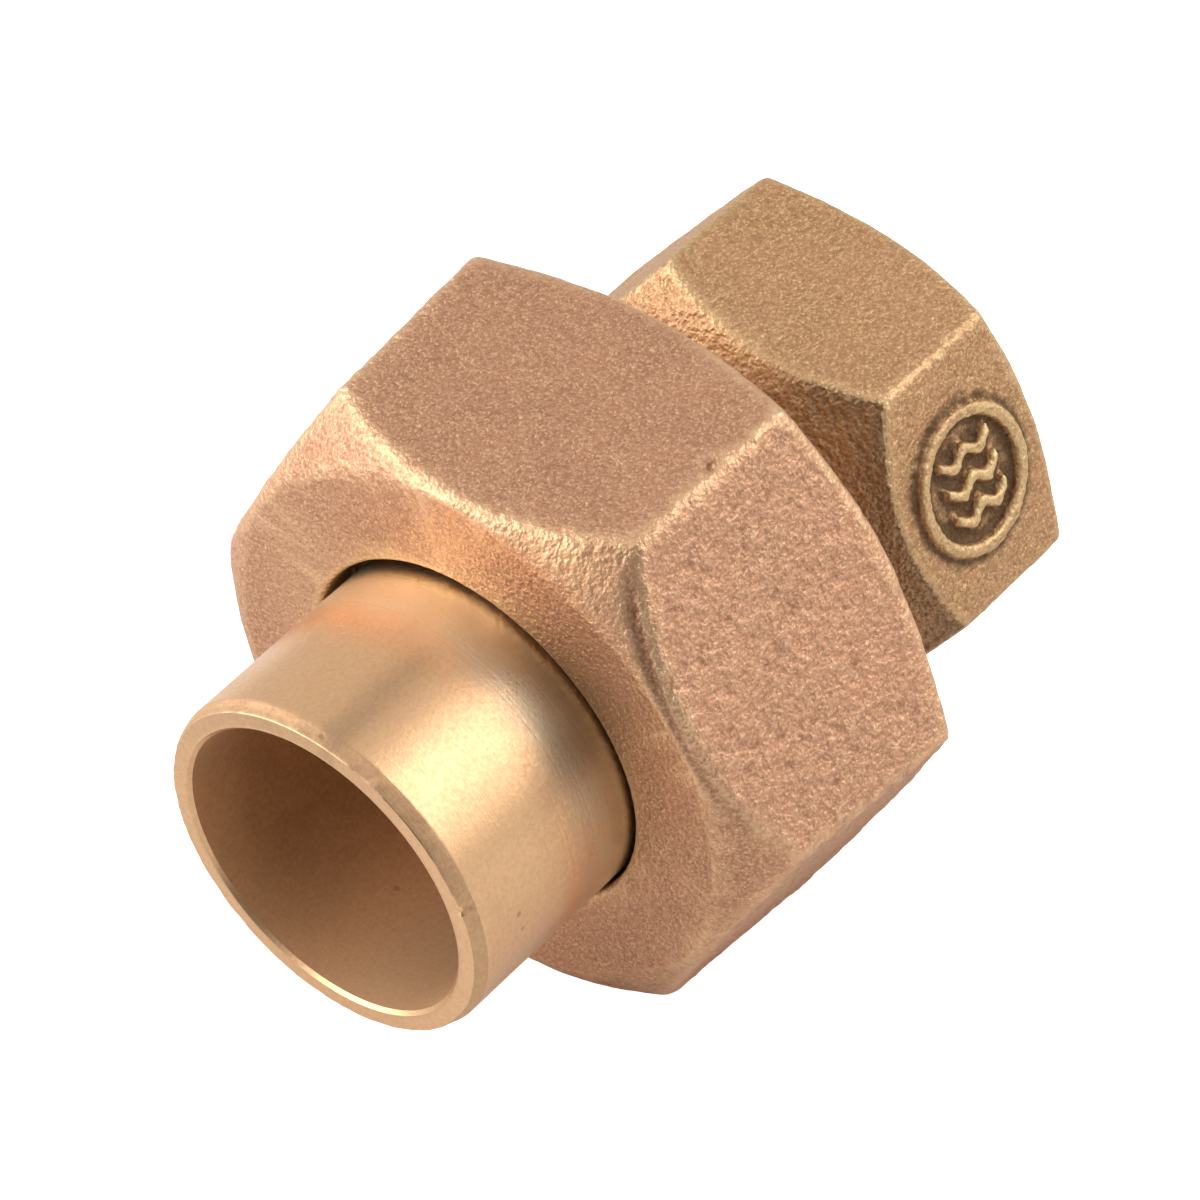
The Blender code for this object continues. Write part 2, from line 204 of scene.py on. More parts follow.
class TailSizes(bpy.types.PropertyGroup):
    """The turned tailpiece."""

    tube_radius: size("Tube radius", "Outside the solder cup", 12.95 * MM)
    cup_radius: size("Cup radius", "Inside the solder cup", 11.15 * MM)
    cup_depth: size("Cup depth", "From the rim to the stop", 19.05 * MM)
    rim_chamfer: size("Rim chamfer", "Length of the rim's outer chamfer", 1.05 * MM)
    rim_drop: size("Rim drop", "Radius lost over the rim's outer chamfer", 0.35 * MM)
    cup_lead: size("Cup lead", "Small chamfer inside the rim", 0.25 * MM)
    collar_radius: size("Collar radius", "Held by the nut's shoulder", 15.4 * MM)
    collar_start: size("Collar start", "Station", 19.3 * MM)
    collar_end: size("Collar end", "Station", 22.3 * MM)
    ball_radius: size("Ball radius", "The seat that meets the body's cone", 16.0 * MM)
    burr: turn("Burr", "Where the rim's burr is, from above towards +Y", 26.5)
    nick: turn("Nick", "Where the rim's nick is, from above towards +Y", 71.6)


class Finish(bpy.types.PropertyGroup):
    """Colours of the three metals' surfaces."""

    nut_dark: tint("Nut, dark grain", "Low spots of the nut's cast skin", (0.44, 0.230, 0.130))
    nut_mid: tint("Nut, cast skin", "Most of the nut's cast skin", (0.68, 0.385, 0.235))
    # This bright-grain colour paints highlights: glints on grains and the lit tops of raised grain.
    nut_highlight: tint("Nut, bright grain", "High spots of the nut's cast skin", (0.98, 0.66, 0.40))
    body_dark: tint("Body, dark grain", "Low spots of the body's cast skin", (0.40, 0.225, 0.105))
    body_mid: tint("Body, cast skin", "Most of the body's cast skin", (0.66, 0.390, 0.205))
    # This bright-grain colour paints highlights: glints on grains and the lit tops of raised grain.
    body_highlight: tint("Body, bright grain", "High spots of the body's cast skin", (0.92, 0.71, 0.36))
    # Hollow colours: dark scale in hollows, and also painted shade in hollows, in the nut's valley and
    # dents, and on the body's shaded side.
    nut_dirt_and_shade: tint("Nut, hollows", "Dark scale left in hollows", (0.19, 0.095, 0.05))
    body_dirt_and_shade: tint("Body, hollows", "Dark scale left in hollows", (0.14, 0.095, 0.055))
    # Edge colour: wear on edges and a painted highlight along them.
    worn_and_highlight: tint("Worn edge", "Edges rubbed bright", (0.92, 0.57, 0.30))
    turned: tint("Turned bronze", "Machined surfaces", (0.94, 0.57, 0.305))
    cup: tint("Inside of the cup", "The bored surface", (1.0, 0.66, 0.38))
    bored: tint("Threads and bores", "Machined insides of nut and body", (0.84, 0.54, 0.31))
    cut: tint("Saw cut", "The rim's rough outer chamfer", (0.80, 0.50, 0.28))


class StageLook(bpy.types.PropertyGroup):
    """Camera, lights and floor."""

    lens: share("Lens", "Focal length in millimetres on a 36 mm sensor", 191.2)
    room: share("Room light", "Strength of the bright side of the surroundings", 0.72)
    shade: share("Room shade", "Strength of the dark side of the surroundings", 0.12)
    key: share("Key light", "Watts", 0.92)
    fill: share("Fill light", "Watts", 2.1)
    front: share("Front light", "Watts", 0.26)
    floor: size("Floor size", "Side of the square floor", 4.0)


# ---------------------------------------------------------------- hand tools


def x_at(station):
    """The X of a station."""
    return RIM - station


def deselect():
    bpy.ops.object.select_all(action="DESELECT")


def only(obj):
    """Makes this the one selected, active object."""
    if bpy.context.mode != "OBJECT":
        bpy.ops.object.mode_set(mode="OBJECT")
    deselect()
    obj.select_set(True)
    bpy.context.view_layer.objects.active = obj


@contextmanager
def editing():
    """Edit mode on the active object, with all of its mesh selected at first."""
    bpy.ops.object.mode_set(mode="EDIT")
    bpy.ops.mesh.select_all(action="SELECT")
    yield
    bpy.ops.object.mode_set(mode="OBJECT")


def extrude(step):
    bpy.ops.mesh.extrude_region_move(TRANSFORM_OT_translate={"value": step})


def named(name, place=None):
    """The object that was just added, placed and renamed, with its place moved into its mesh."""
    obj = bpy.context.active_object
    if place is not None:
        obj.matrix_world = place
        bpy.context.view_layer.update()
    obj.name = name
    obj.data.name = name
    only(obj)
    bpy.ops.object.transform_apply(location=True, rotation=True, scale=True)
    return obj


def discard(obj):
    mesh = obj.data
    bpy.data.objects.remove(obj)
    bpy.data.meshes.remove(mesh)


def modify(obj, kind, **values):
    """One modifier, set and applied."""
    only(obj)
    modifier = obj.modifiers.new(kind.lower(), kind)
    for name, value in values.items():
        setattr(modifier, name, value)
    bpy.ops.object.modifier_apply(modifier=modifier.name)


def single_point(name, place):
    """An object of one vertex, to extrude from."""
    deselect()
    bpy.ops.mesh.primitive_plane_add(size=MM, location=place)
    obj = named(name)
    with editing():
        bpy.ops.mesh.merge(type="CENTER")
    return obj


def draw_chain(name, points):
    """A chain of edges through (station, radius) points on the +Y side, drawn by extruding a vertex."""
    station, radius = points[0]
    chain = single_point(name, (x_at(station), radius, 0))
    with editing():
        for (s0, r0), (s1, r1) in zip(points, points[1:]):
            extrude((s0 - s1, r1 - r0, 0))
    return chain


def tidy_shell(obj):
    """Merges doubles, then turns all faces outwards."""
    only(obj)
    with editing():
        bpy.ops.mesh.remove_doubles(threshold=DOUBLES)
        bpy.ops.mesh.normals_make_consistent(inside=False)


def lathe(name, points, sides):
    """A closed ring turned about X from an outline of (station, radius) points off the axis."""
    obj = draw_chain(name, points + points[:1])
    with editing():
        bpy.ops.mesh.spin(steps=sides, angle=2 * pi, center=(0, 0, 0), axis=(1, 0, 0))
    tidy_shell(obj)
    return obj


def plug(name, points):
    """A solid bar turned about X, its ends closed: a disc is extruded and scaled along the axis."""
    deselect()
    station, radius = points[0]
    bpy.ops.mesh.primitive_circle_add(
        vertices=TURNED_SIDES,
        radius=radius,
        fill_type="NGON",
        location=(x_at(station), 0, 0),
        rotation=(0, pi / 2, 0),
    )
    obj = named(name)
    with editing():
        for (s0, r0), (s1, r1) in zip(points, points[1:]):
            extrude((s0 - s1, 0, 0))
            bpy.ops.transform.resize(value=(1, r1 / r0, r1 / r0), center_override=(x_at(s1), 0, 0))
    tidy_shell(obj)
    return obj


def hexagon(name, start, end, radius_start, radius_end, twist):
    """A six-sided bar along X between two corner radii, its upper flat turned towards +Y by twist."""
    deselect()
    bpy.ops.mesh.primitive_cone_add(
        vertices=6, radius1=radius_end, radius2=radius_start, depth=end - start
    )
    aim = Matrix.Rotation(-twist, 4, "X") @ Matrix.Rotation(pi / 2, 4, "Y")
    return named(name, Matrix.Translation((x_at((start + end) / 2), 0, 0)) @ aim)


def threaded_bar(name, end, turns, pitch, crest, root, taper=0.0):
    """A right-handed threaded bar whose crest and root radii hold at the end station."""
    low = end + pitch
    form = ((0, root), (THREAD_LAND, root), (0.5, crest), (0.5 + THREAD_LAND, crest), (1, root))
    obj = draw_chain(name, [(low - part * pitch, radius) for part, radius in form])
    modify(
        obj,
        "SCREW",
        axis="X",
        screw_offset=pitch,
        iterations=turns,
        steps=THREAD_SIDES,
        render_steps=THREAD_SIDES,
        use_merge_vertices=False,
    )
    points = read_points(obj)
    slim = (points[:, 0] - x_at(end)) * taper
    radius = np.hypot(points[:, 1], points[:, 2])
    points[:, 1:] *= ((radius - slim) / radius)[:, None]
    write_points(obj, points)
    with editing():
        bpy.ops.mesh.remove_doubles(threshold=DOUBLES)
        bpy.ops.mesh.select_all(action="DESELECT")
        bpy.ops.mesh.select_non_manifold()
        bpy.ops.mesh.edge_face_add()
    tidy_shell(obj)
    return obj


def join_shape(obj, other, operation):
    """One Boolean, applied; the other shape is used up."""
    modify(obj, "BOOLEAN", operation=operation, object=other, solver="EXACT")
    discard(other)


def move_mesh(obj, shift):
    """Moves the mesh off the axis by (y, z)."""
    only(obj)
    with editing():
        bpy.ops.transform.translate(value=(0, *shift))


def read_points(obj):
    points = np.empty(len(obj.data.vertices) * 3)
    obj.data.vertices.foreach_get("co", points)
    return points.reshape(-1, 3)


def write_points(obj, points):
    obj.data.vertices.foreach_set("co", points.astype(np.float32).ravel())
    obj.data.update()


def weigh(obj, name, weights):
    """A vertex group from an array of weights, in even steps."""
    group = obj.vertex_groups.new(name=name)
    steps = np.clip(np.round(weights * WEIGHT_STEPS), 0, WEIGHT_STEPS).astype(int)
    for step in range(1, WEIGHT_STEPS + 1):
        chosen = np.nonzero(steps == step)[0]
        if len(chosen):
            group.add(chosen.tolist(), step / WEIGHT_STEPS, "REPLACE")


def store(obj, name, values):
    """A number for each vertex, for the materials to read."""
    numbers = obj.data.attributes.new(name, "FLOAT", "POINT")
    numbers.data.foreach_set("value", values.astype(np.float32))


def relief(obj, rounds):
    """For each vertex, how far it stands out of the surface round it: negative in a hollow."""
    mesh = obj.data
    count = len(mesh.vertices)
    ends = np.empty(len(mesh.edges) * 2, np.int64)
    mesh.edges.foreach_get("vertices", ends)
    here = np.concatenate([ends[0::2], ends[1::2]])
    there = np.concatenate([ends[1::2], ends[0::2]])
    degree = np.bincount(here, minlength=count).clip(1)
    points = read_points(obj)
    even = points.copy()
    for _ in range(rounds):
        around = [np.bincount(here, weights=even[there, axis], minlength=count) for axis in range(3)]
        even = 0.5 * even + 0.5 * np.stack(around, 1) / degree[:, None]
    normals = np.empty(count * 3)
    mesh.vertices.foreach_get("normal", normals)
    return ((points - even) * normals.reshape(-1, 3)).sum(1)


def store_relief(obj, kept=1.0):
    """Numbers for the materials: broad relief for edge wear with painted highlights and for hollows
    darkened with grime and painted shade; fine relief for grain, for painted highlights on its raised
    tops and for painted shade in its pits.
    """
    broad = relief(obj, rounds=40) / BROAD_RELIEF
    store(obj, "broad", np.where(broad > 0, broad * kept, broad))
    store(obj, "fine", relief(obj, rounds=4) / FINE_RELIEF)


def recast(obj, voxel):
    """Remakes the skin as an even net of small faces."""
    modify(obj, "REMESH", mode="VOXEL", voxel_size=voxel)


def soften(obj, group, rounds):
    """Rounds the edges inside a vertex group."""
    modify(obj, "SMOOTH", factor=0.5, iterations=rounds, vertex_group=group)


def roughen(obj, group, grain, strength, depth=2):
    """Pushes the skin in and out by a cloudy noise of one grain size."""
    texture = bpy.data.textures.new("cast grain", "CLOUDS")
    texture.noise_scale = grain
    texture.noise_depth = depth
    modify(
        obj,
        "DISPLACE",
        texture=texture,
        texture_coords="LOCAL",
        strength=strength,
        mid_level=0.5,
        vertex_group=group,
    )
    bpy.data.textures.remove(texture)


def sink(obj, group, depth):
    """Presses the skin in by a vertex group."""
    modify(obj, "DISPLACE", strength=-depth, mid_level=0, vertex_group=group)


def thin(obj):
    """Merges the smallest faces until the piece is under the most triangles that one may have."""
    count = sum(len(face.vertices) - 2 for face in obj.data.polygons)
    modify(obj, "DECIMATE", ratio=min(1.0, MOST_TRIANGLES / count))


def hold_in(obj, low, high):
    """Presses back whatever stands out of the piece's box."""
    write_points(obj, np.clip(read_points(obj), tuple(low), tuple(high)))


def smooth_all(obj):
    only(obj)
    bpy.ops.object.shade_smooth()


# ---------------------------------------------------------------- where a point is on a piece


def places(points, shift=(0.0, 0.0)):
    """Each point's station, its radius, and its angle in degrees from above towards +Y."""
    y, z = points[:, 1] - shift[0], points[:, 2] - shift[1]
    return RIM - points[:, 0], np.hypot(y, z), np.degrees(np.arctan2(y, z))


def rise(values, start, over):
    """0 up to the start, then a straight rise to 1."""
    return np.clip((values - start) / over, 0, 1)


def spread(values, middle, wide):
    """The squared distance from the middle, in widths."""
    return ((values - middle) / wide) ** 2


def hump(values, middle, wide):
    """1 at the middle, falling away smoothly on both sides."""
    return np.exp(-spread(values, middle, wide))


def flat_distances(points, apothem, draft, gauge, twist, shift):
    """For each point, how far it is past each of six flats: negative inside."""
    y, z = points[:, 1] - shift[0], points[:, 2] - shift[1]
    face = apothem + draft * (RIM - points[:, 0] - gauge)
    angles = [twist + k * SIXTH for k in range(6)]
    return np.stack([y * sin(a) + z * cos(a) - face for a in angles], 1)


def cone_distance(points, shift, radius, station, slope):
    """How far each point is past a chamfer cone, whose depth per unit of radius is the slope."""
    s, r, _ = places(points, shift)
    return ((r - radius) * slope - (s - station)) / sqrt(1 + slope * slope)


def stroke_depth(points, start, end, wide, depth):
    """How deep a stroke between two places presses each point, in metres."""
    start, end = np.array(start) * MM, np.array(end) * MM
    run = end - start
    along = np.clip((points - start) @ run / (run @ run), 0, 1)
    away = np.linalg.norm(points - start - along[:, None] * run, axis=1)
    return depth * MM * hump(away, 0, wide * MM)


# ---------------------------------------------------------------- materials


class Wire:
    """A value that changes over the surface, so that nodes are written as sums and products."""

    def __init__(self, socket):
        self.socket = socket
        self.tree = socket.id_data

    def math(self, operation, first, second):
        node = self.tree.nodes.new("ShaderNodeMath")
        node.operation = operation
        feed(first, node.inputs[0])
        feed(second, node.inputs[1])
        return Wire(node.outputs[0])

    def __add__(self, other):
        return self.math("ADD", self, other)

    def __sub__(self, other):
        return self.math("SUBTRACT", self, other)

    def __rsub__(self, other):
        return self.math("SUBTRACT", other, self)

    def __mul__(self, other):
        return self.math("MULTIPLY", self, other)

    def or_more(self, other):
        """The larger of the two."""
        return self.math("MAXIMUM", self, other)

    def clamped(self):
        """Held to 0..1 by the node that makes it."""
        self.socket.node.use_clamp = True
        return self

    def ramp(self, low, high):
        """Stretches low..high to 0..1, clamped."""
        node = self.tree.nodes.new("ShaderNodeMapRange")
        node.inputs["From Min"].default_value = low
        node.inputs["From Max"].default_value = high
        feed(self, node.inputs["Value"])
        return Wire(node.outputs["Result"])


def feed(value, inlet):
    """Links a wire to a socket, or sets the socket to a number or a colour."""
    if isinstance(value, Wire):
        value.tree.links.new(value.socket, inlet)
    elif isinstance(value, (int, float)):
        inlet.default_value = value
    else:
        inlet.default_value = (*value, 1)


def wires(sockets):
    return {socket.name: Wire(socket) for socket in sockets}


def noise(vector, scale, detail=2.0, roughness=0.5, distortion=0.0):
    node = vector.tree.nodes.new("ShaderNodeTexNoise")
    feed(vector, node.inputs["Vector"])
    feed(scale, node.inputs["Scale"])
    feed(detail, node.inputs["Detail"])
    feed(roughness, node.inputs["Roughness"])
    feed(distortion, node.inputs["Distortion"])
    return Wire(node.outputs["Fac"])


def blend(factor, first, second):
    """Mixes from the first colour to the second by the factor."""
    node = factor.tree.nodes.new("ShaderNodeMix")
    node.data_type = "RGBA"
    factor_inlet, first_inlet, second_inlet = (node.inputs[k] for k in MIX_COLOUR_INLETS)
    feed(factor, factor_inlet)
    feed(first, first_inlet)
    feed(second, second_inlet)
    return Wire(node.outputs[MIX_COLOUR_OUTLET])


def darker(colour, share_kept):
    return tuple(c * share_kept for c in colour)


def new_group(name, numbers, results):
    """A shader node group that takes a Vector and some numbers, and puts out other numbers."""
    tree = bpy.data.node_groups.new(name, "ShaderNodeTree")
    tree.interface.new_socket("Vector", in_out="INPUT", socket_type="NodeSocketVector")
    for label in numbers:
        tree.interface.new_socket(label, in_out="INPUT", socket_type="NodeSocketFloat")
    for label in results:
        tree.interface.new_socket(label, in_out="OUTPUT", socket_type="NodeSocketFloat")
    entry = tree.nodes.new("NodeGroupInput")
    leave = tree.nodes.new("NodeGroupOutput")
    return wires(entry.outputs), leave.inputs


def make_grain_group():
    """Sand-cast grain: fine grain, painted glints on bright grains, slow mottling, and a height that
    grows with Coarse.
    """
    into, out = new_group("Sand cast grain", ("Coarse",), ("Grain", "Bright", "Mottle", "Height"))
    where = into["Vector"]
    fine = noise(where, 4200, 2.0, 0.6)
    pebble = noise(where, 2300, 1.0, 0.4)
    lumps = noise(where, 1050, 2.0, 0.5, 0.2)
    grit = noise(where, 6000, 1.0, 0.5)
    slow = noise(where, 170, 3.0, 0.6)
    swell = (lumps * 1.8 + pebble * 0.9) * into["Coarse"]
    feed((fine * 0.6 + pebble * 0.4).ramp(0.38, 0.62), out["Grain"])
    # Painted glints: spots of bright colour that stand in for light sparkling off grains.
    feed((grit * (fine + 0.5)).ramp(0.56, 0.68), out["Bright"])
    feed(slow.ramp(0.3, 0.7), out["Mottle"])
    feed(fine * 0.5 + pebble * 0.6 + swell, out["Height"])


def make_edge_wear_highlight_shade_group():
    """From a piece's relief numbers: edge wear with a painted highlight on convex edges, and hollows
    darkened partly as grime and partly as painted shade, both broken up by noise.
    """
    into, out = new_group("Edge wear, highlights, hollow grime and shade", ("Broad", "Fine"), ("Wear and highlight", "Hollow grime and shade"))
    broken = noise(into["Vector"], 900, 3.0, 0.65) - 0.5
    sunk = into["Broad"] + into["Fine"] * 0.25 + broken * 0.5
    feed((into["Broad"] + broken * 1.6).ramp(0.35, 1.6), out["Wear and highlight"])
    # Hollows: grime and painted shade, an ambient-occlusion-like darkening.
    feed(sunk.ramp(-0.25, -1.3), out["Hollow grime and shade"])


def make_lathe_group():
    """Lathe marks round the X axis: fine rings, haze, flecks and a few dark specks."""
    results = ("Ring", "Haze", "Fleck", "Specks", "Height")
    into, out = new_group("Lathe marks", ("Rings",), results)
    where = into["Vector"]
    nodes = where.tree.nodes
    split = nodes.new("ShaderNodeSeparateXYZ")
    feed(where, split.inputs[0])
    stretched = nodes.new("ShaderNodeCombineXYZ")
    for axis, kept in (("X", 1.0), ("Y", 0.02), ("Z", 0.02)):
        feed(Wire(split.outputs[axis]) * kept, stretched.inputs[axis])
    rings = noise(Wire(stretched.outputs[0]), 5200, 2.0, 0.6)
    haze = noise(where, 240, 5.0, 0.65, 0.6)
    fleck = noise(where, 3200, 3.0, 0.7)
    rare = noise(where, 400, 0.0)
    dots = nodes.new("ShaderNodeTexVoronoi")
    feed(where, dots.inputs["Vector"])
    feed(330, dots.inputs["Scale"])
    specks = Wire(dots.outputs["Distance"]).ramp(0.09, 0.05) * rare.ramp(0.62, 0.66)
    feed(rings, out["Ring"])
    feed((haze * 0.7 + fleck * 0.3).ramp(0.3, 0.7), out["Haze"])
    feed(fleck.ramp(0.34, 0.66), out["Fleck"])
    feed(specks, out["Specks"])
    feed(rings * into["Rings"] + fleck * 0.6 - specks * 0.8, out["Height"])


def start_material(name):
    """A new material's shader, and each point's place in the piece's own frame."""
    material = bpy.data.materials.new(name)
    material.use_nodes = True
    nodes = material.node_tree.nodes
    return nodes["Principled BSDF"], Wire(nodes.new("ShaderNodeTexCoord").outputs["Object"])


def use_group(tree, name, **values):
    """A node group placed in a material, and what it puts out."""
    node = tree.nodes.new("ShaderNodeGroup")
    node.node_tree = bpy.data.node_groups[name]
    for label, value in values.items():
        feed(value, node.inputs[label])
    return wires(node.outputs)


def stored(tree, name):
    """A number stored on the piece's vertices."""
    node = tree.nodes.new("ShaderNodeAttribute")
    node.attribute_name = name
    return Wire(node.outputs["Fac"])


def bump(height, distance):
    node = height.tree.nodes.new("ShaderNodeBump")
    feed(1.0, node.inputs["Strength"])
    feed(distance, node.inputs["Distance"])
    feed(height, node.inputs["Height"])
    return Wire(node.outputs["Normal"])


def cast_skin(name, dark, mid, light, red, dirt_and_shade, worn_and_highlight):
    """Sand-cast bronze with painted glints on bright grains, edge wear with painted highlights, hollows
    darkened by grime and painted shade, and painted shade where the piece stores it.
    """
    shader, where = start_material(name)
    tree = where.tree
    fine, coarse = stored(tree, "fine"), stored(tree, "coarse")
    grain = use_group(tree, "Sand cast grain", Vector=where, Coarse=coarse)
    edges = use_group(
        tree, "Edge wear, highlights, hollow grime and shade", Vector=where, Broad=stored(tree, "broad"), Fine=fine
    )
    muted = ((coarse - 0.12) * 1.6).clamped()
    # Painted highlight at the nut's front corner, and wear on the body's lip, in the bright edge colour.
    rubbed_and_highlit = stored(tree, "rub_and_highlight") * grain["Grain"].ramp(-0.5, 0.9)
    # Painted shade where the piece stores it, broken up by grain.
    painted_shade = (stored(tree, "painted_shade") * (1.35 - grain["Grain"] * 0.7)).clamped()
    skin = blend((grain["Grain"] * 0.8 + muted).clamped(), dark, mid)
    skin = blend(grain["Mottle"] * 0.4, skin, red)
    # Painted glints on bright grains.
    skin = blend(grain["Bright"] * 0.5, skin, light)
    # Painted highlight: the raised tops of the grain, found by fine relief, are made lighter.
    skin = blend(fine.ramp(0.2, 2.2), skin, light)
    # Edge wear, partly a painted highlight along convex edges.
    skin = blend(edges["Wear and highlight"] * 0.26, skin, worn_and_highlight)
    skin = blend(rubbed_and_highlit * 0.8, skin, worn_and_highlight)
    # Hollows darken as grime and painted shade, and the piece's stored painted shade is added.
    skin = blend((edges["Hollow grime and shade"] * 0.75).or_more(painted_shade), skin, dirt_and_shade)
    rough = grain["Grain"] * -0.10 + 0.60 - edges["Wear and highlight"] * 0.10 + edges["Hollow grime and shade"] * 0.25
    feed(skin, shader.inputs["Base Color"])
    feed(rough.clamped(), shader.inputs["Roughness"])
    feed(1.0, shader.inputs["Metallic"])
    feed(bump(grain["Height"], 0.16 * MM), shader.inputs["Normal"])


def turned_skin(name, colour, haze_tint, shade_tint, roughness, metallic, rings, height):
    """Machined bronze with lathe marks, made paler as a painted reflection and darker as painted shade
    where the piece says so.
    """
    shader, where = start_material(name)
    tree = where.tree
    marks = use_group(tree, "Lathe marks", Vector=where, Rings=rings)
    uneven = marks["Haze"] * 0.5 + 0.75
    skin = blend(marks["Haze"] * 0.45, colour, haze_tint)
    skin = blend(marks["Ring"] * 0.18, skin, darker(colour, 0.8))
    skin = blend(marks["Fleck"] * 0.36, skin, darker(colour, 0.62))
    skin = blend(marks["Specks"] * 0.35, skin, SPECK)
    # Painted reflection: paler where the piece stores it.
    skin = blend((stored(tree, "pale") * uneven).clamped(), skin, PAINTED_REFLECTION_PALE)
    # Painted shade where the piece stores it.
    skin = blend((stored(tree, "painted_shade") * uneven).clamped(), skin, shade_tint)
    rough = marks["Haze"] * 0.10 + (roughness - 0.05) + marks["Ring"] * 0.06 + marks["Fleck"] * 0.05
    feed(skin, shader.inputs["Base Color"])
    feed(rough.clamped(), shader.inputs["Roughness"])
    feed(metallic, shader.inputs["Metallic"])
    feed(bump(marks["Height"], height), shader.inputs["Normal"])


def dress(obj, *names):
    """Gives the piece its materials, in slot order."""
    obj.data.materials.clear()
    for name in names:
        obj.data.materials.append(bpy.data.materials[name])


def assign(obj, slot, chosen):
    """Puts the faces whose middle's station and radius pass the test into a material slot."""
    for face in obj.data.polygons:
        if chosen(RIM - face.center.x, hypot(face.center.y, face.center.z)):
            face.material_index = slot


# ---------------------------------------------------------------- the pieces


class UNION_OT_materials(bpy.types.Operator):
    """Make the cast and machined bronze finishes"""

    bl_idname = "pipe_union.materials"
    bl_label = "Make finishes"

    def execute(self, context):
        look = context.scene.union_finish
        make_grain_group()
        make_edge_wear_highlight_shade_group()
        make_lathe_group()
        nut = (look.nut_dark, look.nut_mid, look.nut_highlight, NUT_RED, look.nut_dirt_and_shade)
        body = (look.body_dark, look.body_mid, look.body_highlight, BODY_RED, look.body_dirt_and_shade)
        cast_skin("Nut cast bronze", *nut, look.worn_and_highlight)
        cast_skin("Body cast bronze", *body, look.worn_and_highlight)
        for name, colour, *rest in (
            ("Turned bronze", look.turned, (0.80, 0.50, 0.28), SHADE_BROWN, 0.27, 1.0, 0.35, 0.024 * MM),
            ("Bored bronze", look.cup, (0.86, 0.52, 0.26), CUP_SHADE_BROWN, 0.36, 0.6, 0.5, 0.016 * MM),
            ("Threaded bronze", look.bored, (0.72, 0.46, 0.24), SHADE_BROWN, 0.36, 1.0, 0.5, 0.016 * MM),
            ("Sawn bronze", look.cut, (0.50, 0.33, 0.19), SHADE_BROWN, 0.55, 1.0, 0.4, 0.05 * MM),
        ):
            turned_skin(name, colour, *rest)
        return {"FINISHED"}


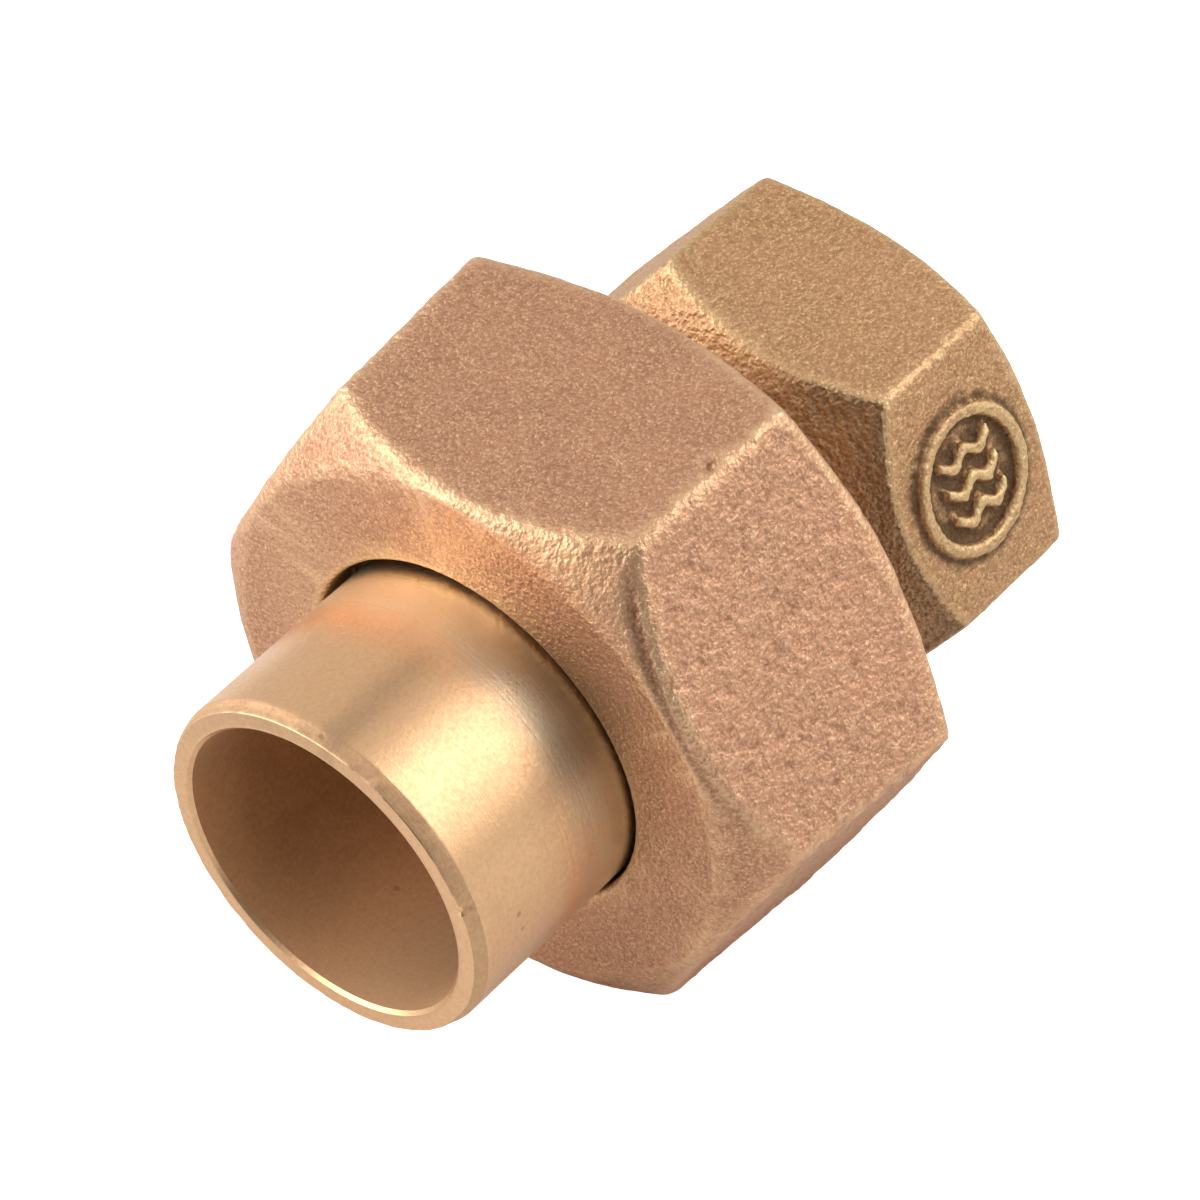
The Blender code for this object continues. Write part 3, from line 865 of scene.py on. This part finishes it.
class UNION_OT_nut(bpy.types.Operator):
    """Model the union nut: a drafted, chamfered hexagon with its thread and cast skin"""

    bl_idname = "pipe_union.nut"
    bl_label = "Make union nut"

    def execute(self, context):
        nut = context.scene.union_nut
        thread = context.scene.union_thread
        front, rear = NUT_FRONT - 1 * MM, NUT_REAR + 1 * MM
        corners = [(nut.apothem + nut.draft * (s - nut.gauge)) / cos(pi / 6) for s in (front, rear)]
        piece = hexagon("nut_casting", front, rear, *corners, 0.0)
        chamfer_end = NUT_FRONT + (nut.corner_radius - nut.face_radius) * nut.front_slope
        relief_radius = thread.major + 2 * thread.play
        bore = thread.minor + thread.play
        outline = [
            (NUT_FRONT + 0.2 * MM, nut.hole_radius - 0.1 * MM),
            (NUT_FRONT, nut.hole_radius + 0.2 * MM),
            (NUT_FRONT, nut.face_radius),
            (chamfer_end, nut.corner_radius),
            (chamfer_end + (PAST_NUT - nut.corner_radius) * nut.corner_slope, PAST_NUT),
            (NUT_REAR - (PAST_NUT - nut.rear_radius) * nut.rear_slope, PAST_NUT),
            (NUT_REAR, nut.rear_radius),
            (NUT_REAR, relief_radius),
            (NUT_REAR - 1.5 * MM, bore),
            (nut.relief_end + 1.3 * MM, bore),
            (nut.relief_end, relief_radius),
            (nut.shoulder, relief_radius),
            (nut.shoulder, nut.hole_radius),
        ]
        ring = lathe("nut_ring", outline, TURNED_SIDES)
        for part in (piece, ring):
            move_mesh(part, nut.shift)
        join_shape(piece, ring, "INTERSECT")
        tap_end = thread.end + 2 * thread.pitch
        turns = int((tap_end - nut.relief_end - 1 * MM) / thread.pitch) + 2
        crest, root = thread.major + thread.play, thread.minor + thread.play
        tap = threaded_bar("nut_tap", tap_end, turns, thread.pitch, crest, root)
        join_shape(piece, tap, "DIFFERENCE")
        recast(piece, NUT_VOXEL)
        self.weather(piece, nut, chamfer_end)
        dress(piece, "Nut cast bronze", "Threaded bronze")
        inside = nut.shoulder - 0.5 * MM
        assign(piece, 1, lambda station, radius: radius < 18.6 * MM and station > inside)
        smooth_all(piece)
        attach(piece, "nut")
        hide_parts("union_nut")
        return {"FINISHED"}

    def weather(self, piece, nut, chamfer_end):
        """Rounds and roughens the cast skin, and stores where its edges and coarse faces are, where the
        front corner gets a painted highlight, and where shade is painted in the valley beside a side flat
        and in the dents.
        """
        points = read_points(piece)
        station, radius, _ = places(points)
        around = places(points, nut.shift)[2]
        flats = flat_distances(points, nut.apothem, nut.draft, nut.gauge, 0.0, nut.shift)
        front = cone_distance(points, nut.shift, nut.face_radius, NUT_FRONT, nut.front_slope)
        steep = cone_distance(points, nut.shift, nut.corner_radius, chamfer_end, nut.corner_slope)
        chamfer = np.maximum(front, steep)

        face = rise(NUT_FRONT + 2.2 * MM - station, 0, 0.6 * MM)
        face = face * rise(radius, nut.hole_radius, 0.5 * MM)
        skin = np.maximum(rise(radius, 18.9 * MM, 0.6 * MM), face)
        side_flats = np.exp(-np.abs(flats[:, SIDE_FLATS]).min(1) / (0.7 * MM)) * (chamfer < -0.1 * MM)
        # Painted highlight: the bright front corner.
        corner = np.exp(-spread(around, 23, 9) - spread(radius, 21.9 * MM, 1.3 * MM))
        corner = corner * (station < NUT_FRONT + 6 * MM) * rise(chamfer, -0.5 * MM, 0.35 * MM)
        beside = rise(around, 31, 5) * rise(88 - around, 0, 40)
        valley = hump(flats[:, 1], -0.52 * MM, 0.34 * MM) * (chamfer > -0.25 * MM) * beside
        knocks = sum(stroke_depth(points, *knock) for knock in KNOCKS) / KNOCK_DEPTH
        edge = hump(radius, nut.face_radius, 0.9 * MM) + hump(radius, nut.corner_radius, 1 * MM)
        edge = edge * (flats.max(1) < -0.9 * MM) * (station < NUT_FRONT + 4 * MM)

        store(piece, "coarse", 0.12 + 0.22 * side_flats + 0.5 * corner)
        store(piece, "rub_and_highlight", corner)
        # Painted shade: the valley beside a side flat, and the dents, are darkened.
        store(piece, "painted_shade", 0.62 * valley + 0.25 * knocks)
        weigh(piece, "skin", skin)
        weigh(piece, "side", skin * side_flats)
        weigh(piece, "valley", valley)
        weigh(piece, "knocks", knocks)
        weigh(piece, "face edge", edge)
        soften(piece, "face edge", 90)
        soften(piece, "skin", 22)
        sink(piece, "skin", -0.08 * MM)
        sink(piece, "valley", 0.24 * MM)
        sink(piece, "knocks", KNOCK_DEPTH)
        roughen(piece, "skin", 7 * MM, 0.24 * MM)
        roughen(piece, "skin", 2.2 * MM, 0.12 * MM)
        roughen(piece, "skin", 0.8 * MM, 0.06 * MM, depth=1)
        roughen(piece, "side", 1.0 * MM, 0.15 * MM, depth=1)
        hold_in(piece, NUT_LOW, NUT_HIGH)
        store_relief(piece)
        thin(piece)


class UNION_OT_body(bpy.types.Operator):
    """Model the body: threaded end, seat, neck, hexagon, pipe thread and raised mark"""

    bl_idname = "pipe_union.body"
    bl_label = "Make body"

    def execute(self, context):
        body = context.scene.union_body
        thread = context.scene.union_thread
        corner = body.apothem / cos(pi / 6)
        piece = hexagon("body_casting", body.hex_start, LENGTH + 1 * MM, corner, corner, body.twist)
        front_depth = (PAST_BODY - body.front_radius) * body.front_slope
        rear_depth = (PAST_BODY - body.rear_radius) * body.rear_slope
        outline = [
            (body.hex_start - 1 * MM, body.front_radius),
            (body.front_station, body.front_radius),
            (body.front_station + front_depth, PAST_BODY),
            (LENGTH - rear_depth, PAST_BODY),
            (LENGTH, body.rear_radius),
        ]
        envelope = plug("body_envelope", outline)
        for part in (piece, envelope):
            move_mesh(part, body.shift)
        join_shape(piece, envelope, "INTERSECT")
        join_shape(piece, self.threaded_end(body, thread), "UNION")
        self.add_mark(piece, context.scene.union_mark, body)
        self.bore(piece, body, thread, context.scene.union_tail)
        recast(piece, BODY_VOXEL)
        self.weather(piece, body)
        dress(piece, "Body cast bronze", "Threaded bronze")
        neck = thread.end + 1.6 * MM
        assign(piece, 1, lambda station, radius: radius < 13.6 * MM or station < neck)
        smooth_all(piece)
        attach(piece, "body")
        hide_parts("body")
        return {"FINISHED"}

    def threaded_end(self, body, thread):
        """The male thread, chamfered at its front and fading into the neck at its rear."""
        lead = thread.major - thread.minor + 0.3 * MM
        top = thread.major + 0.1 * MM
        outline = [
            (BODY_FRONT, thread.major - lead),
            (BODY_FRONT + lead, top),
            (thread.end - 0.8 * MM, top),
            (thread.end + 1.2 * MM, body.neck_radius),
            (body.hex_start + 2 * MM, body.neck_radius - 0.6 * MM),
        ]
        end = plug("threaded_end", outline)
        low = thread.end + 6 * MM
        turns = int((low - BODY_FRONT + 1 * MM) / thread.pitch) + 2
        rod = threaded_bar("union_rod", low, turns, thread.pitch, thread.major, thread.minor)
        join_shape(end, rod, "INTERSECT")
        return end

    def bore(self, piece, body, thread, tail):
        """Cuts the conical seat, which clears the tailpiece's ball, the waterway and the pipe thread."""
        centre = ball_centre(tail)
        touch = SEAT_GAP + tail.ball_radius
        slope = tan(body.seat_angle)

        def seat_station(radius):
            reach = touch * cos(body.seat_angle) - radius
            return centre + touch * sin(body.seat_angle) + reach / slope

        thread_start = LENGTH - thread.pipe_depth
        mouth = thread.pipe_major + 0.1 * MM
        outline = [
            (seat_station(16 * MM), 16 * MM),
            (seat_station(body.waterway), body.waterway),
            (thread_start - 1.5 * MM, body.waterway),
            (thread_start, thread.pipe_minor - thread.pipe_taper * thread.pipe_depth),
            (LENGTH - 1.2 * MM, thread.pipe_minor),
            (LENGTH, mouth),
            (LENGTH + 1 * MM, mouth),
        ]
        join_shape(piece, plug("waterway", outline), "DIFFERENCE")
        pitch = thread.pipe_pitch
        turns = int((thread.pipe_depth - 2 * pitch) / pitch) + 2
        radii = (thread.pipe_major, thread.pipe_minor)
        tap = threaded_bar("pipe_tap", LENGTH, turns, pitch, *radii, thread.pipe_taper)
        join_shape(piece, tap, "DIFFERENCE")

    def mark_frame(self, mark, body):
        """From the mark's own frame, Z out of the flat and X along the axis, to the part's."""
        angle = body.twist + SIXTH
        out = Vector((0, sin(angle), cos(angle)))
        along = Vector((1, 0, 0))
        side = out.cross(along)
        middle = Vector((x_at(mark.station), *body.shift)) + out * body.apothem + side * mark.side
        return Matrix.Translation(middle) @ Matrix((along, side, out)).transposed().to_4x4()

    def add_mark(self, piece, mark, body):
        """Raises the ring and its three zigzag lines on the side flat, and sinks the field between."""
        place = self.mark_frame(mark, body)
        tall = mark.height + MARK_ROOT
        rise_by = (mark.height - MARK_ROOT) / 2
        for name, radius, lift, operation in (
            ("mark_disc", mark.radius, rise_by, "UNION"),
            ("mark_hole", mark.radius - mark.ring, tall / 2 - mark.sunk, "DIFFERENCE"),
        ):
            deselect()
            bpy.ops.mesh.primitive_cylinder_add(vertices=RING_SIDES, radius=radius, depth=tall)
            disc = named(name, place @ Matrix.Translation((0, 0, lift)))
            join_shape(piece, disc, operation)
        for row in (-1, 0, 1):
            join_shape(piece, self.wave(place, mark, row * WAVE_APART), "UNION")

    def wave(self, place, mark, offset):
        """One raised zigzag line across the ring: a zigzag of edges, widened, then raised."""
        start = (-2 * WAVE_RUN, offset - (mark.stroke + WAVE_RISE) / 2, -MARK_ROOT)
        strip = single_point("mark_wave", start)
        with editing():
            for lift in (WAVE_RISE, -WAVE_RISE) * 2:
                extrude((WAVE_RUN, lift, 0))
            bpy.ops.mesh.select_all(action="SELECT")
            extrude((0, mark.stroke, 0))
            bpy.ops.mesh.select_all(action="SELECT")
            extrude((0, 0, mark.height + MARK_ROOT))
        named("mark_wave", place)
        tidy_shell(strip)
        return strip

    def weather(self, piece, body):
        """Rounds and roughens the cast skin, and stores where it is coarse, where the lip gets bright
        edge wear, and where shade is painted on the side towards +Y.
        """
        points = read_points(piece)
        station, radius, around = places(points)
        flats = flat_distances(points, body.apothem, 0.0, 0.0, body.twist, body.shift)
        past = flats.max(1)
        skin = rise(station, 36 * MM, 0.8 * MM) * rise(radius, 13.2 * MM, 0.4 * MM)
        marked = np.hypot(points[:, 0] - x_at(49 * MM), points[:, 1] * 0.35 - points[:, 2]) < 7 * MM
        marked = marked & (flats[:, 1] > -1.2 * MM)
        lip = np.exp(-spread(around, -4, 17) - spread(station, 41 * MM, 1.5 * MM))
        # Painted shade on the side towards +Y, ahead of station 46 mm, stronger on the hexagon than on
        # the thread.
        painted_shade_side = rise(around, 15, 15) * rise(46 * MM - station, 0, 1 * MM) * (past < -0.15 * MM)
        by_flats = rise(past, -2.5 * MM, 2.4 * MM)

        # Wear on the body's lip, in the bright edge colour.
        store(piece, "rub_and_highlight", 0.55 * lip)
        store(piece, "coarse", 0.2 + 0.5 * lip + 0.45 * painted_shade_side)
        store(piece, "painted_shade", (0.22 + 0.4 * by_flats) * painted_shade_side)
        weigh(piece, "skin", skin)
        weigh(piece, "plain", skin * ~marked)
        soften(piece, "plain", 18)
        soften(piece, "skin", 6)
        roughen(piece, "skin", 6 * MM, 0.18 * MM)
        roughen(piece, "skin", 1.8 * MM, 0.10 * MM)
        roughen(piece, "skin", 0.7 * MM, 0.06 * MM, depth=1)
        hold_in(piece, BODY_LOW, BODY_HIGH)
        store_relief(piece, np.where(marked, 0.3, 1.0))
        thin(piece)


def ball_centre(tail):
    """The station of the centre of the tailpiece's ball."""
    return tail.collar_end + 0.2 * MM - sqrt(tail.ball_radius**2 - tail.collar_radius**2)


class UNION_OT_tailpiece(bpy.types.Operator):
    """Model the turned tailpiece: solder cup, rim, collar and ball seat"""

    bl_idname = "pipe_union.tailpiece"
    bl_label = "Make tailpiece"

    def execute(self, context):
        tail = context.scene.union_tail
        rim = tail.tube_radius - tail.rim_drop
        outline = self.outline(tail, context.scene.union_body.waterway)
        piece = lathe("tailpiece_turning", outline, TUBE_SIDES)
        self.weather(piece, tail)
        dress(piece, "Turned bronze", "Bored bronze", "Sawn bronze")
        assign(piece, 1, lambda station, radius: radius < tail.cup_radius + 0.05 * MM)
        assign(piece, 2, lambda station, radius: radius > rim and station < tail.rim_chamfer)
        smooth_all(piece)
        bpy.ops.object.shade_smooth_by_angle(angle=radians(25))
        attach(piece, "tailpiece")
        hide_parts("tailpiece")
        return {"FINISHED"}

    def outline(self, tail, waterway):
        """The section's (station, radius) points, from the lip along the outside and back inside."""
        centre, ball = ball_centre(tail), tail.ball_radius
        first = asin((tail.collar_radius - 0.2 * MM) / ball)
        last = asin((waterway + 0.9 * MM) / ball)
        angles = [first + (last - first) * k / 12 for k in range(13)]
        seat = [(centre + ball * cos(a), ball * sin(a)) for a in angles]
        seat_end = seat[-1][0]
        lip, wall = tail.cup_radius + tail.cup_lead, tail.tube_radius
        edge = wall - tail.rim_drop
        steps = [tail.collar_start * k / 16 for k in range(1, 16)]
        return [
            *[(0, lip + (edge - 0.06 * MM - lip) * k / 4) for k in range(5)],
            (0.06 * MM, edge),
            *[(tail.rim_chamfer * k / 4, edge + tail.rim_drop * k / 4) for k in range(1, 5)],
            (tail.rim_chamfer + 0.15 * MM, wall),
            *[(step, wall) for step in steps if step > 1.4 * MM],
            (tail.collar_start - 0.3 * MM, wall),
            (tail.collar_start, wall + 0.3 * MM),
            (tail.collar_start, tail.collar_radius - 0.2 * MM),
            (tail.collar_start + 0.2 * MM, tail.collar_radius),
            (tail.collar_end, tail.collar_radius),
            *seat,
            (seat_end, waterway + 0.2 * MM),
            (seat_end - 0.2 * MM, waterway),
            (tail.cup_depth + 1.2 * MM, waterway),
            (tail.cup_depth, tail.cup_radius - 0.5 * MM),
            *[(tail.cup_depth * (1 - k / 12), tail.cup_radius) for k in range(12)],
            (tail.cup_lead + 0.2 * MM, tail.cup_radius),
            (tail.cup_lead, tail.cup_radius),
        ]

    def tube_painted_shade(self, station, around):
        """Painted reflections and shade: a dark streak above, one on the side, a darker rim, and a band
        by the nut where the nut's face is reflected.
        """
        above = 0.38 * hump(around, 8, 5.5) * rise(11 * MM - station, 0, 3 * MM)
        side = 0.50 * hump(around, 57, 10) * rise(station, 8 * MM, 5 * MM)
        rim = 0.30 * hump(around, -20, 50) * (station < 0.5 * MM)
        band = 0.42 * rise(around, 12, 12) + 0.25 * rise(-8 - around, 0, 12)
        return np.max([above, side, rim, band * rise(station, 12.8 * MM, 1.6 * MM)], axis=0)

    def cup_painted_shade(self, station, around):
        """Painted shade deep in the cup, with painted light left along its lowest and highest lines."""
        clean = hump(np.abs(around), 180, 34) + hump(around, -35, 40)
        return rise(station, -2.5 * MM, 8 * MM) * (0.60 - 0.60 * clean)

    def weather(self, piece, tail):
        """Paints shade and reflections onto the tube and shade into the cup, pales the tube by the nut as
        a painted reflection, and makes an uneven saw-cut rim with one burr and one nick.
        """
        station, radius, around = places(read_points(piece))
        outside = radius > tail.cup_radius + 0.5 * MM
        # Painted shade and reflections on the tube, painted shade in the cup.
        painted_shade = np.where(outside, self.tube_painted_shade(station, around), self.cup_painted_shade(station, around))
        by_nut = rise(station, 9.6 * MM, 3.0 * MM)
        near = rise(tail.rim_chamfer - station, 0, 0.3 * MM) * rise(radius, 12 * MM, 0.3 * MM)
        # Painted reflection: the tube is paled towards the nut, standing in for the nut's face reflected
        # there.
        store(piece, "pale", np.where(outside, by_nut * by_nut * (3 - 2 * by_nut), 0))
        store(piece, "painted_shade", painted_shade)
        weigh(piece, "saw cut", near)
        weigh(piece, "burr", near * hump(around, degrees(tail.burr), 1.6))
        weigh(piece, "nick", near * hump(around, degrees(tail.nick), 0.8))
        roughen(piece, "saw cut", 0.9 * MM, 0.14 * MM)
        sink(piece, "burr", -0.16 * MM)
        sink(piece, "nick", 0.22 * MM)
        points = read_points(piece)
        points[:, 0] = np.minimum(points[:, 0], RIM)
        write_points(piece, points)


# ---------------------------------------------------------------- stage


def heading(azimuth, elevation, distance):
    """A place seen from the origin: azimuth in degrees from +X towards +Y, elevation above the floor."""
    a, e = radians(azimuth), radians(elevation)
    return (distance * cos(e) * cos(a), distance * cos(e) * sin(a), distance * sin(e))


def softbox(name, azimuth, elevation, width, height, watts):
    """A rectangular area light half a metre away, pointed at the middle of the union."""
    data = bpy.data.lights.new(name, "AREA")
    data.shape = "RECTANGLE"
    data.size = width
    data.size_y = height
    data.energy = watts
    lamp = bpy.data.objects.new(name, data)
    bpy.context.scene.collection.objects.link(lamp)
    lamp.location = heading(azimuth, elevation, 0.5)
    lamp.rotation_euler = (-lamp.location).to_track_quat("-Z", "Y").to_euler()


def make_camera(lens):
    """Looks down at the solder cup's side, a little rolled."""
    data = bpy.data.cameras.new("camera")
    data.lens = lens
    data.sensor_width = SENSOR
    data.clip_start = 0.01
    camera = bpy.data.objects.new("camera", data)
    bpy.context.scene.collection.objects.link(camera)
    back = Vector(CAMERA_BACK).normalized()
    right = Vector(CAMERA_RIGHT)
    right = (right - back * right.dot(back)).normalized()
    aim = Matrix((right, back.cross(right), back)).transposed().to_4x4()
    camera.matrix_world = Matrix.Translation(CAMERA_PLACE) @ aim
    bpy.context.scene.camera = camera


def make_floor(side):
    """A pale floor under the nut's lower flat, bright enough to lose its horizon."""
    deselect()
    bpy.ops.mesh.primitive_plane_add(size=side, location=(0, 0, 0))
    floor = named("floor")
    with editing():
        bpy.ops.mesh.subdivide(number_cuts=4)
        bpy.ops.transform.translate(value=(0, 0, CAD_BOX[0][2]))
    material = bpy.data.materials.new("Pale floor")
    material.use_nodes = True
    shader = material.node_tree.nodes["Principled BSDF"]
    shader.inputs["Base Color"].default_value = (0.82, 0.82, 0.82, 1)
    shader.inputs["Roughness"].default_value = 0.9
    shader.inputs["Emission Color"].default_value = (1, 1, 1, 1)
    seen = material.node_tree.nodes.new("ShaderNodeLightPath").outputs["Is Camera Ray"]
    material.node_tree.links.new(seen, shader.inputs["Emission Strength"])
    floor.data.materials.append(material)


class UNION_OT_stage(bpy.types.Operator):
    """Set up the floor, soft studio light and camera"""

    bl_idname = "pipe_union.stage"
    bl_label = "Make stage"

    def execute(self, context):
        look = context.scene.union_stage
        make_camera(look.lens)
        make_floor(look.floor)
        world = bpy.data.worlds.new("Room")
        world.use_nodes = True
        self.light_room(world.node_tree, look)
        context.scene.world = world
        softbox("key light", 139, 35, 0.35, 0.46, look.key)
        softbox("fill light", -54, 25, 0.56, 0.42, look.fill)
        softbox("front light", -5, 50, 0.24, 0.24, look.front)
        context.scene.view_settings.view_transform = "Standard"
        return {"FINISHED"}

    def light_room(self, tree, look):
        """White surroundings that darken towards the camera's right."""
        room = tree.nodes["Background"]
        room.inputs["Color"].default_value = (1, 1, 1, 1)
        ray = tree.nodes.new("ShaderNodeTexCoord").outputs["Generated"]
        toward = tree.nodes.new("ShaderNodeVectorMath")
        toward.operation = "DOT_PRODUCT"
        toward.inputs[1].default_value = heading(38, 27, 1.0)
        tree.links.new(ray, toward.inputs[0])
        fall = tree.nodes.new("ShaderNodeMapRange")
        fall.inputs["From Min"].default_value = 0.62
        fall.inputs["From Max"].default_value = 0.90
        fall.inputs["To Min"].default_value = look.room
        fall.inputs["To Max"].default_value = look.shade
        tree.links.new(toward.outputs["Value"], fall.inputs["Value"])
        tree.links.new(fall.outputs["Result"], room.inputs["Strength"])


class UNION_PT_panel(bpy.types.Panel):
    """The union's pieces and their sizes"""

    bl_label = "Pipe union"
    bl_space_type = "VIEW_3D"
    bl_region_type = "UI"
    bl_category = "Union"

    def draw(self, context):
        for operator in OPERATORS:
            self.layout.operator(operator.bl_idname)
        for slot, group in GROUPS:
            box = self.layout.box()
            box.label(text=group.__doc__)
            for name in group.__annotations__:
                box.prop(getattr(context.scene, slot), name)


GROUPS = (
    ("union_nut", NutSizes),
    ("union_thread", ThreadSizes),
    ("union_body", BodySizes),
    ("union_mark", MarkSizes),
    ("union_tail", TailSizes),
    ("union_finish", Finish),
    ("union_stage", StageLook),
)
OPERATORS = (UNION_OT_materials, UNION_OT_nut, UNION_OT_body, UNION_OT_tailpiece, UNION_OT_stage)


def register():
    for slot, group in GROUPS:
        bpy.utils.register_class(group)
        setattr(bpy.types.Scene, slot, bpy.props.PointerProperty(type=group))
    for operator in OPERATORS:
        bpy.utils.register_class(operator)
    bpy.utils.register_class(UNION_PT_panel)


def unregister():
    bpy.utils.unregister_class(UNION_PT_panel)
    for operator in reversed(OPERATORS):
        bpy.utils.unregister_class(operator)
    for slot, group in reversed(GROUPS):
        delattr(bpy.types.Scene, slot)
        bpy.utils.unregister_class(group)


def main():
    register()
    bpy.ops.pipe_union.materials()
    bpy.ops.pipe_union.nut()
    bpy.ops.pipe_union.body()
    bpy.ops.pipe_union.tailpiece()
    bpy.ops.pipe_union.stage()


if __name__ == "__main__":
    main()
